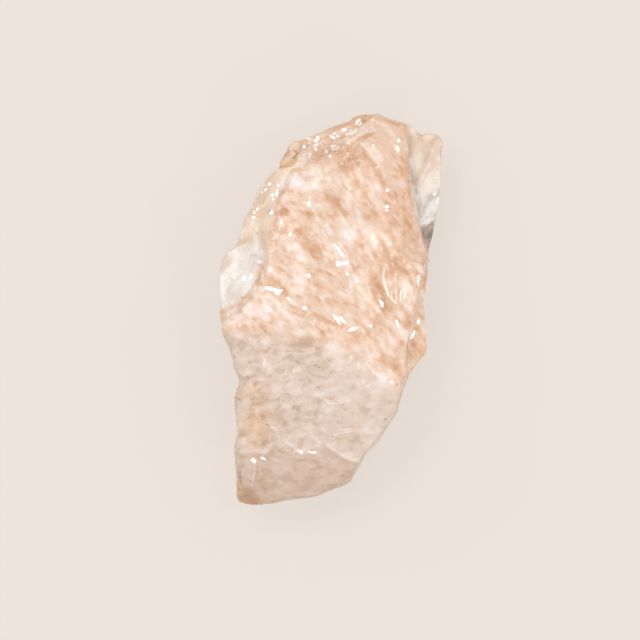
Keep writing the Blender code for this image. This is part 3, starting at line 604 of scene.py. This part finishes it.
colourValues = {
    "upper": [(0.26, (0.62, 0.335, 0.18, 1.0)), (0.38, (0.74, 0.45, 0.28, 1.0)), (0.50, (0.845, 0.60, 0.445, 1.0)),
              (0.62, (0.92, 0.735, 0.625, 1.0)), (0.78, (1.0, 0.91, 0.85, 1.0))],
    "lower": [(0.24, (0.56, 0.41, 0.31, 1.0)), (0.38, (0.68, 0.52, 0.41, 1.0)), (0.50, (0.78, 0.62, 0.52, 1.0)),
              (0.62, (0.86, 0.73, 0.65, 1.0)), (0.78, (0.98, 0.89, 0.83, 1.0))],
    "amber": [(0.30, (0.90, 0.68, 0.48, 1.0)), (0.50, (0.98, 0.79, 0.62, 1.0)), (0.68, (1.0, 0.92, 0.84, 1.0))],
    "smoke": [(0.30, (0.74, 0.64, 0.52, 1.0)), (0.50, (0.88, 0.78, 0.66, 1.0)), (0.68, (1.0, 0.92, 0.84, 1.0))],
    "brown": [(0.30, (0.56, 0.38, 0.27, 1.0)), (0.50, (0.70, 0.47, 0.33, 1.0)), (0.68, (0.88, 0.68, 0.53, 1.0))],
    "clear": [(0.30, (0.80, 0.66, 0.53, 1.0)), (0.50, (0.94, 0.77, 0.64, 1.0)), (0.68, (1.0, 0.92, 0.84, 1.0))],
    "frost": [(0.28, (0.84, 0.74, 0.66, 1.0)), (0.50, (0.98, 0.88, 0.81, 1.0)), (0.66, (1.0, 0.96, 0.92, 1.0))],
    "skin": [(0.28, (0.86, 0.65, 0.49, 1.0)), (0.50, (0.95, 0.74, 0.59, 1.0)), (0.70, (1.0, 0.91, 0.82, 1.0))],
    "recess": [(0.35, (0.46, 0.38, 0.33, 1.0)), (0.50, (0.76, 0.64, 0.56, 1.0)), (0.65, (0.95, 0.86, 0.80, 1.0))],
    "footPaintedShade": (0.90, 0.85, 0.80, 1.0),
    "cornerShade": (0.92, 0.83, 0.75, 1.0),
    "stripPaintedShade": (0.97, 0.91, 0.86, 1.0),
    "ledgePaintedLight": (1.16, 1.22, 1.24, 1.0),
    "pinkTint": (1.02, 1.06, 1.14, 1.0),
    "yellowTint": (1.05, 0.95, 0.84, 1.0),
    "creamTint": (1.04, 0.98, 0.80, 1.0),
    "rim": (1.0, 0.90, 0.81, 1.0),
    "glint": (1.0, 0.98, 0.96, 1.0),
    "crack": (0.20, 0.14, 0.10, 1.0),
}

seeThrough = {"window": 0.24, "windowTop": 0.22, "bevel": 0.14, "scoop": 0.14, "shoulder": 0.24, "recess": 0.45,
              "ledge": 0.10}


class Recipe:
    def __init__(self, tree):
        self.tree = tree
        self.coords = tree.nodes.new("ShaderNodeTexCoord").outputs["Object"]

    def feed(self, socket, value):
        if isinstance(value, bpy.types.NodeSocket):
            self.tree.links.new(value, socket)
        else:
            socket.default_value = value

    def zone(self, name):
        made = self.tree.nodes.new("ShaderNodeAttribute")
        made.attribute_name = name
        return made.outputs["Fac"]

    def clouds(self, sizes, turn=0.0, detail=2.0, rough=0.5, bent=0.0, shift=0.0):
        stretch = self.tree.nodes.new("ShaderNodeMapping")
        stretch.vector_type = "TEXTURE"
        stretch.inputs["Location"].default_value = (shift * mm, shift * mm, shift * mm)
        stretch.inputs["Rotation"].default_value = (0, 0, math.radians(turn))
        stretch.inputs["Scale"].default_value = Vector(sizes) * mm
        self.tree.links.new(self.coords, stretch.inputs["Vector"])
        made = self.tree.nodes.new("ShaderNodeTexNoise")
        made.inputs["Scale"].default_value = 1.0
        made.inputs["Detail"].default_value = detail
        made.inputs["Roughness"].default_value = rough
        made.inputs["Distortion"].default_value = bent
        self.tree.links.new(stretch.outputs["Vector"], made.inputs["Vector"])
        return made.outputs["Fac"]

    def ramp(self, value, low, high, least=0.0, most=1.0):
        made = self.tree.nodes.new("ShaderNodeMapRange")
        made.interpolation_type = "SMOOTHSTEP"
        self.feed(made.inputs["Value"], value)
        made.inputs["From Min"].default_value = low
        made.inputs["From Max"].default_value = high
        made.inputs["To Min"].default_value = least
        made.inputs["To Max"].default_value = most
        return made.outputs["Result"]

    def sum(self, kind, one, other):
        made = self.tree.nodes.new("ShaderNodeMath")
        made.operation = kind
        self.feed(made.inputs[0], one)
        self.feed(made.inputs[1], other)
        return made.outputs["Value"]

    def mix(self, share, one, other, kind="MIX"):
        made = self.tree.nodes.new("ShaderNodeMix")
        made.data_type = "RGBA"
        made.blend_type = kind
        self.feed(made.inputs["Factor"], share)
        self.feed(made.inputs["A"], one)
        self.feed(made.inputs["B"], other)
        return made.outputs["Result"]

    def palette(self, value, stops):
        made = self.tree.nodes.new("ShaderNodeValToRGB")
        ramp = made.color_ramp
        ramp.interpolation = "EASE"
        for spare in list(ramp.elements)[1:]:
            ramp.elements.remove(spare)
        ramp.elements[0].position, ramp.elements[0].color = stops[0]
        for place, colour in stops[1:]:
            ramp.elements.new(place).color = colour
        self.feed(made.inputs["Fac"], value)
        return made.outputs["Color"]

    def tint(self, body, zone, colour):
        return self.mix(zone, body, self.mix(1.0, body, colour, "MULTIPLY"))

    def level(self, share, one, other):
        made = self.tree.nodes.new("ShaderNodeMix")
        self.feed(made.inputs["Factor"], share)
        self.feed(made.inputs["A"], one)
        self.feed(made.inputs["B"], other)
        return made.outputs["Result"]


def makeCrystal(colours):
    paint = bpy.data.materials.new("morganite crystal")
    paint.use_nodes = True
    tree = paint.node_tree
    shader = tree.nodes["Principled BSDF"]
    make = Recipe(tree)
    tone = make.sum("MULTIPLY", make.zone("tone"), 0.16)

    # The upper face: flecks that lie along the grain.
    still = make.sum("MAXIMUM", make.zone("calmPeak"), make.sum("MULTIPLY", make.zone("calmSide"), 0.5))
    still = make.sum("MAXIMUM", still, make.sum("MULTIPLY", make.zone("foot"), 0.4))
    slanted = make.clouds((2.3, 1.0, 1.6), -54, 1.8, 0.5, 0.3)
    level = make.clouds((2.4, 0.9, 1.6), 0, 1.8, 0.5, 0.5, 40)
    wavy = make.clouds((2.5, 1.0, 1.6), -25, 1.8, 0.5, 0.8, 90)
    small = make.clouds((0.9, 0.5, 0.7), -50, 1.5, 0.5, 0.4, 120)
    flecks = make.level(make.zone("flatGrain"), slanted, level)
    flecks = make.level(make.zone("wavyGrain"), flecks, wavy)
    flecks = make.level(0.36, flecks, small)
    flecks = make.level(make.sum("MULTIPLY", still, 0.75), flecks, 0.49)
    body = make.palette(make.sum("ADD", flecks, tone), colours["upper"])

    # The lower face: paler and pinker, with small scattered specks.
    specks = make.clouds((1.2, 0.85, 1.0), 8, 2.0, 0.5, 0.3, 140)
    mist = make.clouds((4.5, 2.4, 3.0), 10, 2.0, 0.5, 0.3, 190)
    dots = make.ramp(make.clouds((0.85, 0.6, 0.7), 12, 1.0, 0.5, 0.3, 180), 0.57, 0.68, 0.0, -0.14)
    mottle = make.sum("ADD", make.level(0.36, specks, mist), dots)
    mottle = make.level(make.sum("MULTIPLY", still, 0.8), mottle, 0.51)
    lower = make.palette(make.sum("ADD", mottle, tone), colours["lower"])
    body = make.mix(make.zone("lower"), body, lower)
    # Painted shade: the foot, turned away from the key light, is darkened.
    body = make.tint(body, make.zone("foot"), colours["footPaintedShade"])
    body = make.tint(body, make.zone("footCorner"), colours["cornerShade"])
    # Painted shade: the right-facing strip is darkened.
    body = make.tint(body, make.zone("strip"), colours["stripPaintedShade"])
    # Painted light: the ledge, which faces away from the key light, is brightened to the upper face's tone.
    body = make.tint(body, make.zone("ledge"), colours["ledgePaintedLight"])

    # The clear edges.
    haze = make.sum("ADD", make.clouds((2.6, 1.5, 2.0), 55, 1.5, 0.5, 0.5, 240), tone)
    body = make.mix(make.zone("bevel"), body, make.palette(haze, colours["skin"]))
    body = make.mix(make.zone("amber"), body, make.palette(haze, colours["amber"]))
    body = make.mix(make.zone("smoke"), body, make.palette(haze, colours["smoke"]))
    body = make.mix(make.zone("scoop"), body, make.palette(haze, colours["frost"]))
    body = make.mix(make.zone("shoulder"), body, make.palette(haze, colours["brown"]))
    body = make.tint(body, make.zone("cream"), colours["creamTint"])
    pane = make.sum("MAXIMUM", make.zone("window"), make.zone("windowTop"))
    body = make.mix(pane, body, make.palette(haze, colours["clear"]))
    warm = make.sum("MULTIPLY", pane, make.zone("windowWarm"))
    body = make.mix(warm, body, make.palette(haze, colours["skin"]))
    milky = make.sum("MULTIPLY", pane, make.zone("windowPale"))
    body = make.mix(milky, body, make.palette(haze, colours["frost"]))
    # Partly painted shade: the recess palette is dark for the shade in this hollow, over the crystal's own grey-brown
    # and clearer glass.
    body = make.mix(make.zone("recess"), body, make.palette(haze, colours["recess"]))

    blush = make.zone("blush")
    body = make.tint(body, make.ramp(blush, 0.0, 1.0), colours["pinkTint"])
    body = make.tint(body, make.ramp(blush, 0.0, -1.0), colours["yellowTint"])
    # Painted highlight: a pale warm colour along the outline.
    body = make.mix(make.sum("MULTIPLY", make.zone("rim"), 0.7), body, colours["rim"])
    # Painted highlight: the breaks' base colour is whitened, on top of the real lamp glints from their tilt.
    body = make.mix(make.sum("MULTIPLY", make.zone("glossAndPaintedGlint"), 0.8), body, colours["glint"])
    body = make.mix(make.sum("MULTIPLY", make.zone("dark"), 0.55), body, colours["crack"])
    make.feed(shader.inputs["Base Color"], body)

    gaps = make.ramp(haze, 0.62, 0.38, 0.4, 1.0)
    see = 0.06
    for name, amount in seeThrough.items():
        see = make.level(make.zone(name), see, make.sum("MULTIPLY", gaps, amount))
    make.feed(shader.inputs["Transmission Weight"], see)

    sheen = make.ramp(make.clouds((0.9, 0.9, 0.9), 0, 2.0, 0.5, 0.0, 300), 0.35, 0.65, 0.20, 0.36)
    polish = make.sum("MAXIMUM", make.zone("glossAndPaintedGlint"), make.zone("rim"))
    make.feed(shader.inputs["Roughness"], make.level(polish, sheen, 0.13))
    shader.inputs["IOR"].default_value = 1.58
    shader.inputs["Subsurface Weight"].default_value = 0.2
    shader.inputs["Subsurface Radius"].default_value = (1.0, 0.62, 0.45)
    shader.inputs["Subsurface Scale"].default_value = 0.4 * mm

    depth = tree.nodes.new("ShaderNodeVolumeAbsorption")
    depth.inputs["Color"].default_value = (0.98, 0.867, 0.767, 1.0)
    depth.inputs["Density"].default_value = 110.0
    make.feed(tree.nodes["Material Output"].inputs["Volume"], depth.outputs["Volume"])
    return paint


stone = bpy.data.objects.new("morganiteStone", fine)
bpy.context.scene.collection.objects.link(stone)
fine.materials.clear()
fine.materials.append(makeCrystal(colourValues))
print("material ready")

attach(stone, "root")
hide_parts("morganite")
